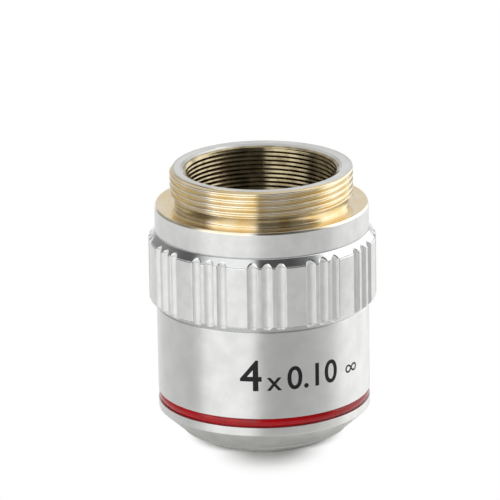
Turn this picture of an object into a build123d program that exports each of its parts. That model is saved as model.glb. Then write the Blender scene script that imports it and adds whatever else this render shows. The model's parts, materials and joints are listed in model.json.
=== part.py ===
from build123d import *

import os
from math import sqrt

# Low-power microscope objective, four times, aperture 0.10: turned brass shells around
# a black lens tube with five lenses, and a fluted ring to grip it by. Millimetres,
# +Z up along the optical axis. The origin is the middle of the nose's front face, which
# the objective stands on, and the mounting thread points up. The marking faces -Y.

# Outside of the shells, in heights that follow each other from the nose face to the rim
nose_bevel_height = 1.20
nose_cone_height = 2.33
front_band_height = 0.94
groove_width = 1.06
barrel_height = 9.97
grip_lower_bevel = 0.80
grip_land_height = 6.66
grip_upper_bevel = 0.96
collar_height = 2.92
neck_height = 0.96
thread_height = 3.10

# Outside, across the standard thread, and how far the rest steps in or out from there
thread_diameter = 20.27
shoulder_width = 1.715
collar_stand_out = 0.05
grip_stand_out = 0.80
nose_bevel_width = 2.30
nose_face_width = 1.20
neck_relief = 0.535
seat_relief_depth = 0.05
seat_relief_clearance = 0.165

# Edge breaks on the shells
rim_chamfer_width = 0.08
rim_chamfer_height = 0.12
thread_runout = 0.30
shoulder_chamfer_width = 0.15
shoulder_chamfer_height = 0.25
joint_chamfer = 0.10
lead_in = 0.25

# Flutes of the grip ring, milled in groups
flute_groups = 12
flutes_per_group = 3
flute_step_angle = 7.15
flute_cutter_diameter = 1.08
flute_depth = 0.42
flute_turn = 2.0

# Colour band in its groove
groove_depth = 0.35
enamel_edge_below_surface = 0.20
enamel_crown_below_surface = 0.09

# Walls and hollows of the shells
neck_wall = 1.37
rear_bore_chamfer_width = 0.72
rear_bore_chamfer_height = 0.40
ledge_width = 0.98
barrel_wall = 1.17
barrel_relief_wall = 1.70
nose_wall = 1.60
nose_lip_thickness = 1.00
nose_lip_margin = 0.30
spigot_engagement = 7.50
socket_end_gap = 0.30

# Lens tube, front cell and the rings that hold them
flange_thickness = 1.50
lock_ring_thickness = 1.80
lock_ring_recess = 0.30
parfocal_spacer_thickness = 0.50
parfocal_shim_thickness = 0.20
lens_tube_wall = 1.42
lens_tube_ledge = 1.20
tube_end_above_ring = 0.20
tube_rim_chamfer = 0.12
cell_head_height = 3.70
cell_spigot_height = 2.20
cell_socket_wall = 0.89
cell_wall = 0.75
cell_end_gap = 0.30
cell_gap_to_lip = 0.20
retaining_ring_thickness = 0.80
rear_ring_thickness = 1.20
front_ring_recess = 0.10
lock_slot_width = 1.20
lock_slot_depth = 0.90
ring_slot_width = 0.90
ring_slot_depth = 0.45

# Glass: what its seats and the stop hide of each edge, then thicknesses and curves. The convex
# lenses go by the thickness of their edge, the hollow ones by that of their middle.
front_seat_width = 0.70
stack_seat_width = 0.85
dish_rim_width = 1.15
stop_rim_width = 1.45
front_lens_edge_thickness = 1.92
front_lens_curve = 32.0
negative_lens_thickness = 1.00
negative_lens_curve = 12.5
flint_thickness = 1.20
cement_curve = 13.0
crown_edge_thickness = 0.92
crown_curve = 13.0
rear_lens_edge_thickness = 1.05
rear_lens_curve = 14.9
front_spacer_height = 1.00
stop_thickness = 0.30
middle_spacer_height = 0.80
rear_lens_gap = 0.30

# Clearances on the radius
slide_clearance = 0.03
nose_clearance = 0.13
lens_clearance = 0.05
enamel_clearance = 0.01


def sag(curve, radius):
    """Depth of a spherical face at a distance from its axis."""
    return curve - sqrt(curve**2 - radius**2)


# Radii outside and in the mount body, from the thread
thread_radius = thread_diameter / 2
collar_radius = thread_radius + shoulder_width
barrel_radius = collar_radius - collar_stand_out
grip_radius = barrel_radius + grip_stand_out
groove_radius = barrel_radius - groove_depth
relief_radius = barrel_radius - barrel_relief_wall
sleeve_bore_radius = barrel_radius - barrel_wall
spigot_radius = sleeve_bore_radius - slide_clearance
seat_radius = thread_radius + seat_relief_clearance
neck_radius = thread_radius - neck_relief
rear_bore_radius = neck_radius - neck_wall
guide_bore_radius = rear_bore_radius - ledge_width
flange_radius = rear_bore_radius - slide_clearance

# Radii of the lens tube and its glass, then of the front cell and the nose around it
lens_tube_radius = guide_bore_radius - slide_clearance
stack_bore_radius = lens_tube_radius - lens_tube_wall
stack_radius = stack_bore_radius - lens_clearance
clear_radius = stack_radius - stack_seat_width
dish_radius = stack_radius - dish_rim_width
stop_radius = stack_radius - stop_rim_width
cell_socket_radius = lens_tube_radius - cell_socket_wall
cell_spigot_radius = cell_socket_radius - slide_clearance
front_bore_radius = cell_spigot_radius - cell_wall
front_lens_radius = front_bore_radius - lens_clearance
front_clear_radius = front_lens_radius - front_seat_width
nose_bore_radius = lens_tube_radius + nose_clearance
nose_opening_radius = front_lens_radius + nose_lip_margin
nose_face_radius = nose_opening_radius + nose_face_width
nose_cone_end_radius = nose_face_radius + nose_bevel_width

# Levels of the shells, from the nose face up
cone_level = nose_bevel_height
band_level = cone_level + nose_cone_height
groove_level = band_level + front_band_height
barrel_level = groove_level + groove_width
grip_level = barrel_level + barrel_height
land_level = grip_level + grip_lower_bevel
land_top_level = land_level + grip_land_height
collar_level = land_top_level + grip_upper_bevel
shoulder_level = collar_level + collar_height
thread_level = shoulder_level + neck_height
rim_level = thread_level + thread_height
spigot_level = grip_level - spigot_engagement
socket_level = spigot_level - socket_end_gap

# Levels of the front cell and its lens
cell_level = nose_lip_thickness + cell_gap_to_lip
front_ring_level = cell_level + front_ring_recess
front_lens_level = front_ring_level + retaining_ring_thickness
front_lens_edge_level = front_lens_level + front_lens_edge_thickness
front_lens_top_level = front_lens_edge_level + sag(front_lens_curve, front_lens_radius)
front_seat_level = front_lens_top_level - sag(front_lens_curve, front_clear_radius)
tube_level = cell_level + cell_head_height
cell_top_level = tube_level + cell_spigot_height

# Levels of the stack in the lens tube, each from the one below it
tube_socket_level = cell_top_level + cell_end_gap
stack_level = tube_socket_level + lens_tube_ledge
dish_depth = sag(negative_lens_curve, dish_radius)
front_spacer_level = stack_level + negative_lens_thickness + 2 * dish_depth
stop_level = front_spacer_level + front_spacer_height
middle_spacer_level = stop_level + stop_thickness
flint_level = middle_spacer_level + middle_spacer_height
cement_level = flint_level + flint_thickness
cement_edge_level = cement_level + sag(cement_curve, stack_radius)
crown_edge_level = cement_edge_level + crown_edge_thickness
crown_top_level = crown_edge_level + sag(crown_curve, stack_radius)
rear_spacer_level = crown_top_level - sag(crown_curve, clear_radius)
rear_lens_level = crown_top_level + rear_lens_gap
rear_lens_edge_level = rear_lens_level + rear_lens_edge_thickness
rear_lens_top_level = rear_lens_edge_level + sag(rear_lens_curve, stack_radius)
rear_ring_level = rear_lens_top_level - sag(rear_lens_curve, clear_radius)
tube_top_level = rear_ring_level + rear_ring_thickness + tube_end_above_ring

# Levels of the tube's flange and what clamps it
lock_ring_level = tube_top_level - lock_ring_recess - lock_ring_thickness
flange_level = lock_ring_level - flange_thickness
shim_level = flange_level - parfocal_shim_thickness
ledge_level = shim_level - parfocal_spacer_thickness

os.makedirs("parts", exist_ok=True)


# Mount body: thread, neck, shoulder and collar, with a spigot below for the two sleeves.
# The shoulder is relieved around the neck, so that only its outer ring seats, clear of the thread.
with BuildPart() as mount_body:
    with BuildSketch(Plane.XZ):
        with BuildLine():
            Polyline(
                (guide_bore_radius, spigot_level),
                (spigot_radius, spigot_level),
                (spigot_radius, collar_level),
                (collar_radius - joint_chamfer, collar_level),
                (collar_radius, collar_level + joint_chamfer),
                (collar_radius, shoulder_level - shoulder_chamfer_height),
                (collar_radius - shoulder_chamfer_width, shoulder_level),
                (seat_radius, shoulder_level),
                (seat_radius, shoulder_level - seat_relief_depth),
                (neck_radius, shoulder_level - seat_relief_depth),
                (neck_radius, thread_level),
                (thread_radius - thread_runout, thread_level),
                (thread_radius, thread_level + thread_runout),
                (thread_radius, rim_level - rim_chamfer_height),
                (thread_radius - rim_chamfer_width, rim_level),
                (rear_bore_radius + rear_bore_chamfer_width, rim_level),
                (rear_bore_radius, rim_level - rear_bore_chamfer_height),
                (rear_bore_radius, ledge_level),
                (guide_bore_radius, ledge_level),
                close=True,
            )
        make_face()
    revolve(axis=Axis.Z)
    bottom_edges = mount_body.edges().filter_by(GeomType.CIRCLE).group_by(Axis.Z)[0]
    chamfer(bottom_edges.sort_by(SortBy.RADIUS)[-1], length=lead_in)
mount_body.part.label = "mount_body"
export_step(mount_body.part, "parts/mount_body.step")


# Grip ring: bevelled top and bottom, with groups of half-round flutes that run out in the bevels
with BuildPart() as grip_ring:
    with BuildSketch(Plane.XZ):
        with BuildLine():
            Polyline(
                (sleeve_bore_radius, grip_level),
                (barrel_radius, grip_level),
                (grip_radius, land_level),
                (grip_radius, land_top_level),
                (collar_radius, collar_level),
                (sleeve_bore_radius, collar_level),
                close=True,
            )
        make_face()
    revolve(axis=Axis.Z)
    flute_circle_radius = grip_radius - flute_depth + flute_cutter_diameter / 2
    with BuildSketch(Plane.XY.offset(grip_level)):
        for flute in range(flutes_per_group):
            flute_angle = (flute - (flutes_per_group - 1) / 2) * flute_step_angle
            first_angle = -90 + flute_turn + flute_angle
            with PolarLocations(flute_circle_radius, flute_groups, start_angle=first_angle):
                Circle(flute_cutter_diameter / 2)
    extrude(amount=collar_level - grip_level, mode=Mode.SUBTRACT)
grip_ring.part.label = "grip_ring"
export_step(grip_ring.part, "parts/grip_ring.step")


# Outer barrel: plain sleeve with the colour groove, the front band and the coned nose
with BuildPart() as outer_barrel:
    relief_level = band_level + nose_wall
    cone_run = (barrel_radius - nose_cone_end_radius) / nose_cone_height
    inner_cone_level = relief_level - (relief_radius - nose_bore_radius) / cone_run
    with BuildSketch(Plane.XZ):
        with BuildLine():
            Polyline(
                (nose_opening_radius, 0),
                (nose_face_radius, 0),
                (nose_cone_end_radius, cone_level),
                (barrel_radius, band_level),
                (barrel_radius, groove_level),
                (groove_radius, groove_level),
                (groove_radius, barrel_level),
                (barrel_radius, barrel_level),
                (barrel_radius, grip_level - joint_chamfer),
                (barrel_radius - joint_chamfer, grip_level),
                (sleeve_bore_radius, grip_level),
                (sleeve_bore_radius, socket_level),
                (relief_radius, socket_level),
                (relief_radius, relief_level),
                (nose_bore_radius, inner_cone_level),
                (nose_bore_radius, nose_lip_thickness),
                (nose_opening_radius, nose_lip_thickness),
                close=True,
            )
        make_face()
    revolve(axis=Axis.Z)
    top_edges = outer_barrel.edges().filter_by(GeomType.CIRCLE).group_by(Axis.Z)[-1]
    chamfer(top_edges.sort_by(SortBy.RADIUS)[0], length=lead_in)
outer_barrel.part.label = "outer_barrel"
export_step(outer_barrel.part, "parts/outer_barrel.step")


# Colour band: enamel that fills the groove, a little crowned and just below the barrel's surface
with BuildPart() as colour_band:
    enamel_floor = groove_radius + enamel_clearance
    enamel_edge = barrel_radius - enamel_edge_below_surface
    enamel_crown = barrel_radius - enamel_crown_below_surface
    with BuildSketch(Plane.XZ):
        with BuildLine():
            Polyline(
                (enamel_edge, groove_level),
                (enamel_floor, groove_level),
                (enamel_floor, barrel_level),
                (enamel_edge, barrel_level),
            )
            ThreePointArc(
                (enamel_edge, barrel_level),
                (enamel_crown, (groove_level + barrel_level) / 2),
                (enamel_edge, groove_level),
            )
        make_face()
    revolve(axis=Axis.Z)
colour_band.part.label = "colour_band"
export_step(colour_band.part, "parts/colour_band.step")


# Lens tube: hangs by its flange on the mount body's ledge and carries the stack and the front cell
with BuildPart() as lens_tube:
    with BuildSketch(Plane.XZ):
        with BuildLine():
            Polyline(
                (cell_socket_radius, tube_level),
                (lens_tube_radius, tube_level),
                (lens_tube_radius, flange_level),
                (flange_radius, flange_level),
                (flange_radius, lock_ring_level),
                (lens_tube_radius, lock_ring_level),
                (lens_tube_radius, tube_top_level),
                (stack_bore_radius, tube_top_level),
                (stack_bore_radius, stack_level),
                (clear_radius, stack_level),
                (clear_radius, tube_socket_level),
                (cell_socket_radius, tube_socket_level),
                close=True,
            )
        make_face()
    revolve(axis=Axis.Z)
    rim_edges = lens_tube.edges().filter_by(GeomType.CIRCLE).group_by(Axis.Z)[-1]
    chamfer(rim_edges, length=tube_rim_chamfer)
lens_tube.part.label = "lens_tube"
export_step(lens_tube.part, "parts/lens_tube.step")


# Parfocal spacer and shim: flat rings under the flange that set the focus distance
with BuildPart() as parfocal_spacer:
    with BuildSketch(Plane.XY.offset(ledge_level)):
        Circle(flange_radius)
        Circle(guide_bore_radius, mode=Mode.SUBTRACT)
    extrude(amount=parfocal_spacer_thickness)
parfocal_spacer.part.label = "parfocal_spacer"
export_step(parfocal_spacer.part, "parts/parfocal_spacer.step")

with BuildPart() as parfocal_shim:
    with BuildSketch(Plane.XY.offset(shim_level)):
        Circle(flange_radius)
        Circle(guide_bore_radius, mode=Mode.SUBTRACT)
    extrude(amount=parfocal_shim_thickness)
parfocal_shim.part.label = "parfocal_shim"
export_step(parfocal_shim.part, "parts/parfocal_shim.step")


# Lock ring: clamps the flange, with two spanner slots in its upper face
with BuildPart() as lock_ring:
    with BuildSketch(Plane.XY.offset(lock_ring_level)):
        Circle(flange_radius)
        Circle(guide_bore_radius, mode=Mode.SUBTRACT)
    extrude(amount=lock_ring_thickness)
    with BuildSketch(Plane.XY.offset(lock_ring_level + lock_ring_thickness)):
        Rectangle(2 * flange_radius, lock_slot_width)
    extrude(amount=-lock_slot_depth, mode=Mode.SUBTRACT)
lock_ring.part.label = "lock_ring"
export_step(lock_ring.part, "parts/lock_ring.step")


# Front cell: screws into the lens tube from below and seats the front lens against its ledge
with BuildPart() as front_cell:
    with BuildSketch(Plane.XZ):
        with BuildLine():
            Polyline(
                (front_bore_radius, cell_level),
                (lens_tube_radius, cell_level),
                (lens_tube_radius, tube_level),
                (cell_spigot_radius, tube_level),
                (cell_spigot_radius, cell_top_level),
                (front_clear_radius, cell_top_level),
                (front_clear_radius, front_seat_level),
                (front_bore_radius, front_seat_level),
                close=True,
            )
        make_face()
    revolve(axis=Axis.Z)
    head_edges = front_cell.edges().filter_by(GeomType.CIRCLE).group_by(Axis.Z)[0]
    chamfer(head_edges.sort_by(SortBy.RADIUS)[-1], length=lead_in)
front_cell.part.label = "front_cell"
export_step(front_cell.part, "parts/front_cell.step")


# Front retaining ring: threaded ring with two spanner slots, in front of the front lens
with BuildPart() as front_retaining_ring:
    with BuildSketch(Plane.XY.offset(front_ring_level)):
        Circle(front_lens_radius)
        Circle(front_clear_radius, mode=Mode.SUBTRACT)
    extrude(amount=retaining_ring_thickness)
    with BuildSketch(Plane.XY.offset(front_ring_level)):
        Rectangle(2 * front_lens_radius, ring_slot_width)
    extrude(amount=ring_slot_depth, mode=Mode.SUBTRACT)
front_retaining_ring.part.label = "front_retaining_ring"
export_step(front_retaining_ring.part, "parts/front_retaining_ring.step")


# Front lens: flat towards the specimen, convex behind
with BuildPart() as front_lens:
    with BuildSketch(Plane.XZ):
        with BuildLine():
            Polyline(
                (0, front_lens_top_level),
                (0, front_lens_level),
                (front_lens_radius, front_lens_level),
                (front_lens_radius, front_lens_edge_level),
            )
            RadiusArc(
                (front_lens_radius, front_lens_edge_level),
                (0, front_lens_top_level),
                -front_lens_curve,
            )
        make_face()
    revolve(axis=Axis.Z)
front_lens.part.label = "front_lens"
export_step(front_lens.part, "parts/front_lens.step")


# Negative lens: dished on both sides, with flat rims to seat on
with BuildPart() as negative_lens:
    lower_dish_level = stack_level + dish_depth
    upper_dish_level = lower_dish_level + negative_lens_thickness
    with BuildSketch(Plane.XZ):
        with BuildLine():
            RadiusArc((0, lower_dish_level), (dish_radius, stack_level), negative_lens_curve)
            Polyline(
                (dish_radius, stack_level),
                (stack_radius, stack_level),
                (stack_radius, front_spacer_level),
                (dish_radius, front_spacer_level),
            )
            RadiusArc((dish_radius, front_spacer_level), (0, upper_dish_level), negative_lens_curve)
            Line((0, upper_dish_level), (0, lower_dish_level))
        make_face()
    revolve(axis=Axis.Z)
negative_lens.part.label = "negative_lens"
export_step(negative_lens.part, "parts/negative_lens.step")


# Front spacer: keeps the aperture stop off the negative lens
with BuildPart() as front_spacer:
    with BuildSketch(Plane.XY.offset(front_spacer_level)):
        Circle(stack_radius)
        Circle(clear_radius, mode=Mode.SUBTRACT)
    extrude(amount=front_spacer_height)
front_spacer.part.label = "front_spacer"
export_step(front_spacer.part, "parts/front_spacer.step")


# Aperture stop: thin disc whose hole sets the numerical aperture
with BuildPart() as aperture_stop:
    with BuildSketch(Plane.XY.offset(stop_level)):
        Circle(stack_radius)
        Circle(stop_radius, mode=Mode.SUBTRACT)
    extrude(amount=stop_thickness)
aperture_stop.part.label = "aperture_stop"
export_step(aperture_stop.part, "parts/aperture_stop.step")


# Middle spacer: carries the cemented pair above the stop
with BuildPart() as middle_spacer:
    with BuildSketch(Plane.XY.offset(middle_spacer_level)):
        Circle(stack_radius)
        Circle(clear_radius, mode=Mode.SUBTRACT)
    extrude(amount=middle_spacer_height)
middle_spacer.part.label = "middle_spacer"
export_step(middle_spacer.part, "parts/middle_spacer.step")


# Cemented pair, first the flint: flat below, dished above to take the crown
with BuildPart() as doublet_flint:
    with BuildSketch(Plane.XZ):
        with BuildLine():
            Polyline(
                (0, cement_level),
                (0, flint_level),
                (stack_radius, flint_level),
                (stack_radius, cement_edge_level),
            )
            RadiusArc((stack_radius, cement_edge_level), (0, cement_level), cement_curve)
        make_face()
    revolve(axis=Axis.Z)
doublet_flint.part.label = "doublet_flint"
export_step(doublet_flint.part, "parts/doublet_flint.step")


# Cemented pair, then the crown: convex on both sides
with BuildPart() as doublet_crown:
    with BuildSketch(Plane.XZ):
        with BuildLine():
            RadiusArc((0, cement_level), (stack_radius, cement_edge_level), -cement_curve)
            Line((stack_radius, cement_edge_level), (stack_radius, crown_edge_level))
            RadiusArc((stack_radius, crown_edge_level), (0, crown_top_level), -crown_curve)
            Line((0, crown_top_level), (0, cement_level))
        make_face()
    revolve(axis=Axis.Z)
doublet_crown.part.label = "doublet_crown"
export_step(doublet_crown.part, "parts/doublet_crown.step")


# Rear spacer: rests on the crown's curve at its bore and holds the rear lens just clear of it
with BuildPart() as rear_spacer:
    with BuildSketch(Plane.XY.offset(rear_spacer_level)):
        Circle(stack_radius)
        Circle(clear_radius, mode=Mode.SUBTRACT)
    extrude(amount=rear_lens_level - rear_spacer_level)
rear_spacer.part.label = "rear_spacer"
export_step(rear_spacer.part, "parts/rear_spacer.step")


# Rear lens: flat below, convex above
with BuildPart() as rear_lens:
    with BuildSketch(Plane.XZ):
        with BuildLine():
            Polyline(
                (0, rear_lens_top_level),
                (0, rear_lens_level),
                (stack_radius, rear_lens_level),
                (stack_radius, rear_lens_edge_level),
            )
            RadiusArc((stack_radius, rear_lens_edge_level), (0, rear_lens_top_level), -rear_lens_curve)
        make_face()
    revolve(axis=Axis.Z)
rear_lens.part.label = "rear_lens"
export_step(rear_lens.part, "parts/rear_lens.step")


# Rear retaining ring: threaded ring with two spanner slots, on top of the stack
with BuildPart() as rear_retaining_ring:
    with BuildSketch(Plane.XY.offset(rear_ring_level)):
        Circle(stack_radius)
        Circle(clear_radius, mode=Mode.SUBTRACT)
    extrude(amount=rear_ring_thickness)
    with BuildSketch(Plane.XY.offset(rear_ring_level + rear_ring_thickness)):
        Rectangle(2 * stack_radius, ring_slot_width)
    extrude(amount=-ring_slot_depth, mode=Mode.SUBTRACT)
rear_retaining_ring.part.label = "rear_retaining_ring"
export_step(rear_retaining_ring.part, "parts/rear_retaining_ring.step")
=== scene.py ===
import json
import math

import bmesh
import bpy
from mathutils import Matrix, Vector

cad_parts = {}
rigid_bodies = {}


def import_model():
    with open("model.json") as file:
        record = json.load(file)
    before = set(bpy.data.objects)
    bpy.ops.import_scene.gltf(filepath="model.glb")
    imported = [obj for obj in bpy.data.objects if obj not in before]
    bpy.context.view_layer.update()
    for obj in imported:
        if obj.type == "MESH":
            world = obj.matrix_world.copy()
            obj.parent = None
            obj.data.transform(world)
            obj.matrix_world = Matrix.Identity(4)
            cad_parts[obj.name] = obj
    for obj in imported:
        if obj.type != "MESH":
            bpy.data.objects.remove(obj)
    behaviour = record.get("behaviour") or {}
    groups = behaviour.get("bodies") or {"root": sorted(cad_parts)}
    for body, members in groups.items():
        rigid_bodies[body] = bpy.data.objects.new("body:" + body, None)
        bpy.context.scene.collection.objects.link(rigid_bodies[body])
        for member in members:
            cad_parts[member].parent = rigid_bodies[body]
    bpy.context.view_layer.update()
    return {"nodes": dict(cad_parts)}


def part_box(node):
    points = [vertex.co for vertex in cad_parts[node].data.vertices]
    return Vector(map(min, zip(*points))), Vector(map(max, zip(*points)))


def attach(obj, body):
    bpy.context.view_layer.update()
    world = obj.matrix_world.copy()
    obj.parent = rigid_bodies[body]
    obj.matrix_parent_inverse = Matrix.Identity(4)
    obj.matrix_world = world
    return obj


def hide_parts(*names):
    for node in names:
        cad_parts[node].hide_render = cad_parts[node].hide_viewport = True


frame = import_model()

# A low-power microscope objective that stands on its nose, with its mounting thread up.
# Sizes here are millimetres, and become metres where a mesh, lamp or camera is made.
mm = 0.001
columns = 280  # steps round a turned piece, whose flats stay within 0.001 mm of the true circle


def levels(node):
    low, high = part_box(node)
    return high.x / mm, low.z / mm, high.z / mm  # outer radius, bottom, top


collarRadius, spigotLevel, rimLevel = levels("mount_body")
gripRadius, gripLevel, collarLevel = levels("grip_ring")
barrelRadius = levels("outer_barrel")[0]
grooveLevel, barrelLevel = levels("colour_band")[1:]


def linear(hexColour):
    parts = [int(hexColour[i:i + 2], 16) / 255 for i in (1, 3, 5)]
    parts = [p / 12.92 if p <= 0.04045 else ((p + 0.055) / 1.055) ** 2.4 for p in parts]
    return (*parts, 1.0)


def addNode(tree, kind, inputs=(), **settings):
    node = tree.nodes.new(kind)
    for name, value in settings.items():
        setattr(node, name, value)
    pairs = inputs.items() if isinstance(inputs, dict) else enumerate(inputs)
    for socket, value in pairs:
        if isinstance(value, bpy.types.Node):
            value = value.outputs[0]
        if isinstance(value, bpy.types.NodeSocket):
            tree.links.new(value, node.inputs[socket])
        else:
            node.inputs[socket].default_value = value
    return node


# Materials


def newMaterial(name, shader):
    material = bpy.data.materials.new(name)
    material.use_nodes = True
    tree = material.node_tree
    tree.nodes.clear()
    surface = addNode(tree, "ShaderNodeBsdfPrincipled", shader)
    addNode(tree, "ShaderNodeOutputMaterial", {"Surface": surface})
    return material, tree, surface


def addLay(tree, surface, look):
    # Turning leaves fine rings. They run round the axis on walls, faces and cones alike, so
    # the pattern is read along height plus radius and hardly changes round the piece. A real
    # feed is too fine to show, so the rings are drawn coarser. Sizes in a look are millimetres.
    place = addNode(tree, "ShaderNodeTexCoord").outputs["Object"]
    flat = addNode(tree, "ShaderNodeVectorMath", [place, (1, 1, 0)], operation="MULTIPLY")
    radius = addNode(tree, "ShaderNodeVectorMath", [flat], operation="LENGTH")
    height = addNode(tree, "ShaderNodeSeparateXYZ", [place]).outputs["Z"]
    along = addNode(tree, "ShaderNodeMath", [height, radius.outputs["Value"]], operation="ADD")
    across = addNode(tree, "ShaderNodeVectorMath", {
        0: flat, "Scale": look["layPitch"] / look["layLength"]}, operation="SCALE")
    rings = addNode(tree, "ShaderNodeCombineXYZ", {"Z": along})
    spot = addNode(tree, "ShaderNodeVectorMath", [across, rings], operation="ADD")
    lay = addNode(tree, "ShaderNodeTexNoise", {"Vector": spot, "Scale": 1 / (look["layPitch"] * mm),
                                               "Detail": 2.0, "Roughness": 0.6})
    cloud = addNode(tree, "ShaderNodeTexNoise", {"Vector": place, "Scale": 1 / (look["cloudSize"] * mm),
                                                 "Detail": 3.0})
    bump = addNode(tree, "ShaderNodeBump", {"Height": lay, "Strength": look["layStrength"],
                                            "Distance": look["layDepth"] * mm})
    tree.links.new(bump.outputs["Normal"], surface.inputs["Normal"])
    smoothest, roughest = look["roughness"]
    rough = addNode(tree, "ShaderNodeMapRange", {"Value": cloud, "From Min": 0.3, "From Max": 0.7,
                                                 "To Min": smoothest, "To Max": roughest})
    tree.links.new(rough.outputs["Result"], surface.inputs["Roughness"])
    if look.get("anisotropic"):
        tangent = addNode(tree, "ShaderNodeTangent", direction_type="RADIAL", axis="Z")
        tree.links.new(tangent.outputs["Tangent"], surface.inputs["Tangent"])
        surface.inputs["Anisotropic"].default_value = look["anisotropic"]
        surface.inputs["Anisotropic Rotation"].default_value = 0.25  # blurs across the rings
    return cloud


def tintBy(tree, surface, factor, dark, light, low=0.35, high=0.65):
    share = addNode(tree, "ShaderNodeMapRange", {"Value": factor, "From Min": low, "From Max": high})
    mix = addNode(tree, "ShaderNodeMix", data_type="RGBA")
    tree.links.new(share.outputs["Result"], mix.inputs["Factor"])
    mix.inputs["A"].default_value = linear(dark)
    mix.inputs["B"].default_value = linear(light)
    tree.links.new(mix.outputs["Result"], surface.inputs["Base Color"])


def ringedMetal(name, look):
    # The look of a metal that was turned in a lathe, or plated over such a surface
    material, tree, surface = newMaterial(name, {"Metallic": look["metal"]})
    cloud = addLay(tree, surface, look)
    tintBy(tree, surface, cloud, look["dark"], look["light"])
    return material, tree, surface


# Free-cutting brass, turned and left bare: warm gold with a fine ring pattern that draws
# highlights out along the axis, and a browner bloom where it has begun to tarnish
brassLook = dict(dark="#F2E3BE", light="#FDF8EA", metal=1.0, roughness=(0.15, 0.20), anisotropic=0.85,
                 layPitch=0.16, layLength=8.0, layDepth=0.008, layStrength=0.8, cloudSize=3.0)


def stain(tree, surface, amount, colour):
    # Lays one more colour over the one that the surface has
    mix = addNode(tree, "ShaderNodeMix", data_type="RGBA")
    tree.links.new(amount, mix.inputs["Factor"])
    tree.links.new(surface.inputs["Base Color"].links[0].from_socket, mix.inputs["A"])
    mix.inputs["B"].default_value = linear(colour)
    tree.links.new(mix.outputs["Result"], surface.inputs["Base Color"])


# The same brass on the mounting thread and the shoulder, with painted shade: faces that look up
# are painted a browner, darker gold. The amount goes by how far up a face looks.
upFacingShadeLook = dict(colour="#C8A662", start=0.2, full=0.65, most=0.45)


def threadBrass():
    material, tree, surface = ringedMetal("brass with painted shade on up-facing faces", brassLook)
    facing = addNode(tree, "ShaderNodeTexCoord").outputs["Normal"]
    up = addNode(tree, "ShaderNodeSeparateXYZ", [facing]).outputs["Z"]
    # Painted shade: the more a face looks up, the more of the browner, darker gold it gets
    amount = addNode(tree, "ShaderNodeMapRange", {"Value": up, "From Min": upFacingShadeLook["start"],
                                                  "From Max": upFacingShadeLook["full"],
                                                  "To Max": upFacingShadeLook["most"]})
    stain(tree, surface, amount.outputs["Result"], upFacingShadeLook["colour"])
    return material


# The same brass in the rear bore, painted darker and greyer as painted shade for the deep
# recess. The plate on the rim runs a little way down its chamfer.
shadedBoreLook = dict(brassLook, dark="#928569", light="#C2B594", roughness=(0.12, 0.16), anisotropic=0.8,
                layStrength=0.1, cloudSize=1.4, plate="#D4D5D3", plateDepth=0.16)


def boreBrass():
    material, tree, surface = ringedMetal("bore brass darkened as painted shade", shadedBoreLook)
    spot = addNode(tree, "ShaderNodeTexCoord").outputs["Object"]
    height = addNode(tree, "ShaderNodeSeparateXYZ", [spot]).outputs["Z"]
    edge = rimLevel - shadedBoreLook["plateDepth"]
    amount = addNode(tree, "ShaderNodeMapRange", {"Value": height, "From Min": (edge - 0.03) * mm,
                                                  "From Max": edge * mm})
    stain(tree, surface, amount.outputs["Result"], shadedBoreLook["plate"])
    return material


# Chromium plate over turned brass, satin: neutral pale grey, soft reflections drawn out
# along the axis by the rings below the plate, faint cloudiness from handling
satinLook = dict(dark="#D9DAD8", light="#E4E4E2", metal=1.0, roughness=(0.30, 0.36), anisotropic=0.75,
                 layPitch=0.18, layLength=9.0, layDepth=0.006, layStrength=0.4, cloudSize=2.2)


# The same plate on the collar and the lands, blasted before plating: nearly half of its light
# is scattered, so that it stays pale where the barrel turns dark
collarLook = dict(satinLook, roughness=(0.34, 0.40), metal=0.54, layStrength=0.5, cloudSize=1.6)


# The same plate over faces cut with a finer feed: nearly a mirror, so that lamps and dark
# parts of the room show with firm edges
brightLook = dict(dark="#DADBDB", light="#E2E3E3", metal=1.0, roughness=(0.10, 0.14), anisotropic=0.3,
                  layPitch=0.14, layLength=7.0, layDepth=0.003, layStrength=0.3, cloudSize=2.5)


# Stoving enamel run into the groove: deep red with a wet gloss from its own skin
enamelLook = dict(dark="#9A0610", light="#AA0813", roughness=0.14, skin=0.36, cloudSize=1.2)


def redEnamel():
    material, tree, surface = newMaterial("red stoving enamel", {
        "Roughness": enamelLook["roughness"], "Specular IOR Level": enamelLook["skin"]})
    place = addNode(tree, "ShaderNodeTexCoord").outputs["Object"]
    scale = 1 / (enamelLook["cloudSize"] * mm)
    cloud = addNode(tree, "ShaderNodeTexNoise", {"Vector": place, "Scale": scale, "Detail": 2.0})
    tintBy(tree, surface, cloud, enamelLook["dark"], enamelLook["light"])
    return material


# The same plate in the flutes, where the form cutter left no rings: softer and more even, so
# that the hollows look pale beside the lands
milledLook = dict(dark="#DFE0DE", light="#E8E8E6", metal=0.32, roughness=(0.46, 0.52),
                  layPitch=0.25, layLength=0.25, layDepth=0.006, layStrength=0.3, cloudSize=1.5)


# Brass blackened in a bath: near-black and dull, with rings from the lathe that still glint
blackBrassLook = dict(dark="#191817", light="#24221F", metal=0.6, roughness=(0.42, 0.55),
                      layPitch=0.2, layLength=10.0, layDepth=0.02, layStrength=0.6, cloudSize=1.5)

# Matt black anodised aluminium: a dry, even black with a fine grain
anodLook = dict(dark="#141415", light="#1C1C1E", metal=0.3, roughness=(0.55, 0.68),
                layPitch=0.12, layLength=2.4, layDepth=0.02, layStrength=0.5, cloudSize=0.8)

# Optical crown glass with a quarter-wave coat of magnesium fluoride: clear, with a faint
# purple-blue reflection in place of a white one
glassLook = dict(tint="#FBFDFF", index=1.52, filmNanometres=100.0, filmIndex=1.38)


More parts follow.
